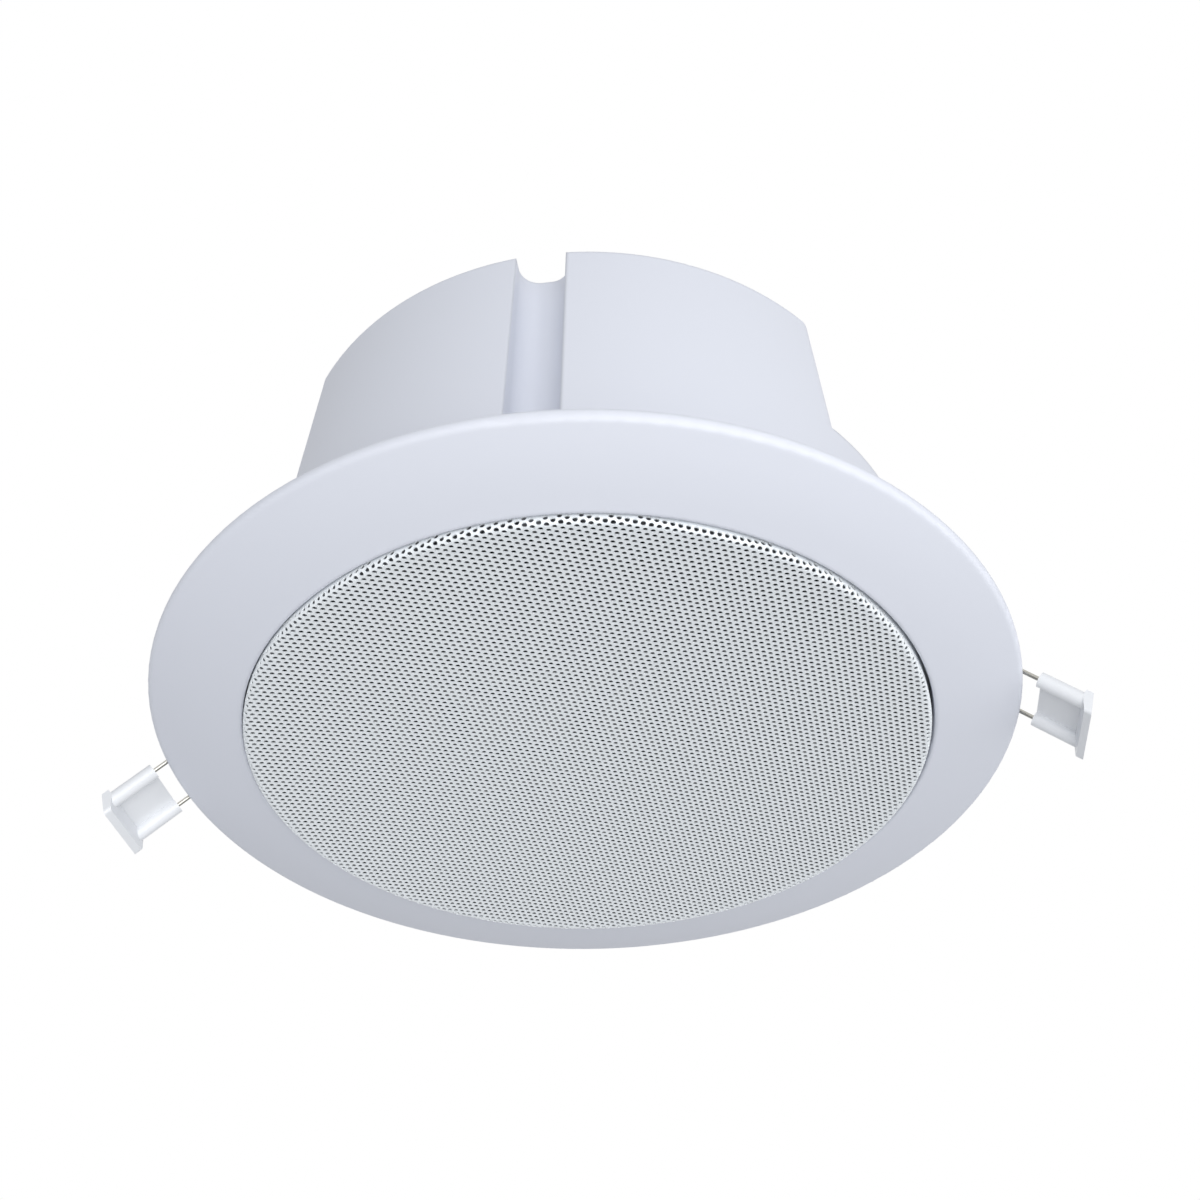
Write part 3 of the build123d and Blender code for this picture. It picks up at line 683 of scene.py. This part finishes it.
class SPEAKER_OT_housing(bpy.types.Operator):
    """Finishes the bezel and the back can"""

    bl_idname = "speaker.housing"
    bl_label = "Housing"

    def execute(self, context):
        dress(abs_moulded_white(), "bezel", "back_can")
        return {"FINISHED"}


class SPEAKER_OT_fasteners(bpy.types.Operator):
    """Finishes the zinc-plated steel: screws, pins, front plate and yoke"""

    bl_idname = "speaker.fasteners"
    bl_label = "Fasteners"

    def execute(self, context):
        finish = steel_zinc_plated()
        dress(finish, "can_screws", "driver_screws", "left_clip_pin", "right_clip_pin", "terminal_screws")
        dress(finish, "front_plate", "yoke")
        return {"FINISHED"}


class SPEAKER_OT_driver(bpy.types.Operator):
    """Finishes the driver's pieces, with finished copies in place of the soft ones"""

    bl_idname = "speaker.driver"
    bl_label = "Driver"

    def execute(self, context):
        dress(foam_cut_black(), "driver_gasket")
        dress(steel_painted_black(), "driver_frame")
        flexing_ring("surround_roll", "surround", rubber_moulded(), "surround_rubber", *SURROUND_SPAN)
        dress(paper_pressed(), "cone", "dust_cap")
        dress(copper_enamelled(), "voice_coil")
        flexing_ring("spider_disc", "spider", cloth_resin_stiffened(), "spider_cloth", *SPIDER_SPAN)
        dress(ferrite_ground(), "magnet")
        return {"FINISHED"}


class SPEAKER_OT_wiring(bpy.types.Operator):
    """Finishes the terminal, the tags and the leads"""

    bl_idname = "speaker.wiring"
    bl_label = "Wiring"

    def execute(self, context):
        dress(phenolic_board(), "tag_board")
        dress(brass_tinned(), "tags", "terminal_pins")
        flexing("tinsel_cords", "tinsel_leads", copper_braided())
        dress(nylon_moulded(), "terminal_block")
        dress(pvc_extruded("red", "#A8201C"), "positive_lead")
        dress(pvc_extruded("black", "#1E1E20"), "negative_lead")
        return {"FINISHED"}


class SPEAKER_OT_stage(bpy.types.Operator):
    """Makes the floor, the light and the camera"""

    bl_idname = "speaker.stage"
    bl_label = "Stage"

    def execute(self, context):
        sizes = context.scene.speaker_stage
        scene = context.scene
        scene.view_settings.view_transform = "Standard"

        # a plain pale floor well below the speaker
        floor_mesh = bpy.data.meshes.new("floor")
        corners = ((-1, -1), (1, -1), (1, 1), (-1, 1))
        floor_points = [(x * FLOOR_HALF, y * FLOOR_HALF, -sizes.floor_drop) for x, y in corners]
        floor_mesh.from_pydata(floor_points, [], [(0, 1, 2, 3)])
        floor = bpy.data.objects.new("floor", floor_mesh)
        scene.collection.objects.link(floor)
        paper = material("Paper backdrop, matt", Base_Color=linear("#F4F4F4"), Roughness=0.9)[0]
        floor_mesh.materials.append(paper)

        # even light all round, and plain white where the eye or a reflection meets no surface
        world = bpy.data.worlds.new("Studio")
        world.use_nodes = True
        tree = world.node_tree
        tree.nodes.clear()
        fill = node(tree, "ShaderNodeBackground", {"Color": linear("#F3F6FB"), "Strength": FILL_STRENGTH})
        plain = node(tree, "ShaderNodeBackground", {"Color": linear("#FFFFFF"), "Strength": 1.0})
        rays = node(tree, "ShaderNodeLightPath")
        seen = node(
            tree,
            "ShaderNodeMath",
            {"operation": "MAXIMUM"},
            {0: (rays, "Is Camera Ray"), 1: (rays, "Is Glossy Ray")},
        )
        seen = node(
            tree,
            "ShaderNodeMath",
            {"operation": "MAXIMUM"},
            {0: (seen, 0), 1: (rays, "Is Transmission Ray")},
        )
        mix = node(
            tree, "ShaderNodeMixShader", (), {0: (seen, 0), 1: (fill, "Background"), 2: (plain, "Background")}
        )
        node(tree, "ShaderNodeOutputWorld", (), {"Surface": (mix, "Shader")})
        scene.world = world

        # three large soft lights: in front and, weaker, below the front and at the right
        lights = {
            "front": (FRONT_PLACE, sizes.front_power),
            "low": (LOW_PLACE, sizes.low_power),
            "side": (SIDE_PLACE, sizes.side_power),
        }
        for name, (place, power) in lights.items():
            lamp = bpy.data.lights.new(name, "AREA")
            lamp.energy = power
            lamp.size = LIGHT_WIDTH
            lit = bpy.data.objects.new(name, lamp)
            lit.location = place
            lit.rotation_euler = (-lit.location).to_track_quat("-Z", "Y").to_euler()
            scene.collection.objects.link(lit)

        camera = bpy.data.cameras.new("camera")
        camera.lens = sizes.lens
        camera.sensor_width = SENSOR_WIDTH
        camera.shift_x, camera.shift_y = SHIFT
        camera.clip_start = CLIP_START
        eye = bpy.data.objects.new("camera", camera)
        ahead = Vector(EYE_AHEAD).normalized()
        right = Vector(EYE_RIGHT)
        right = (right - ahead * right.dot(ahead)).normalized()
        up = right.cross(ahead)
        facing = Matrix((right, up, -ahead)).transposed().to_4x4()
        eye.matrix_world = Matrix.Translation(EYE_PLACE) @ facing
        scene.collection.objects.link(eye)
        scene.camera = eye
        return {"FINISHED"}


class SPEAKER_PT_panel(bpy.types.Panel):
    """Lists the speaker's sizes and operators"""

    bl_label = "In-ceiling speaker"
    bl_space_type = "VIEW_3D"
    bl_region_type = "UI"
    bl_category = "Speaker"

    def draw(self, context):
        for operator in OPERATORS:
            self.layout.operator(operator.bl_idname)
        for group in (context.scene.speaker_grille, context.scene.speaker_clips, context.scene.speaker_stage):
            box = self.layout.box()
            for name in group.__annotations__:
                box.prop(group, name)


GROUPS = {
    "speaker_grille": SpeakerGrilleSizes,
    "speaker_clips": SpeakerClipSizes,
    "speaker_stage": SpeakerStage,
}
OPERATORS = (
    SPEAKER_OT_housing,
    SPEAKER_OT_grille,
    SPEAKER_OT_clips,
    SPEAKER_OT_fasteners,
    SPEAKER_OT_driver,
    SPEAKER_OT_wiring,
    SPEAKER_OT_stage,
)


def register():
    for group in GROUPS.values():
        bpy.utils.register_class(group)
    for name, group in GROUPS.items():
        setattr(bpy.types.Scene, name, PointerProperty(type=group))
    for operator in OPERATORS:
        bpy.utils.register_class(operator)
    bpy.utils.register_class(SPEAKER_PT_panel)


def unregister():
    bpy.utils.unregister_class(SPEAKER_PT_panel)
    for operator in reversed(OPERATORS):
        bpy.utils.unregister_class(operator)
    for name, group in GROUPS.items():
        delattr(bpy.types.Scene, name)
        bpy.utils.unregister_class(group)


def main():
    register()
    bpy.ops.speaker.housing()
    bpy.ops.speaker.grille()
    bpy.ops.speaker.clips()
    bpy.ops.speaker.fasteners()
    bpy.ops.speaker.driver()
    bpy.ops.speaker.wiring()
    bpy.ops.speaker.stage()


if __name__ == "__main__":
    main()
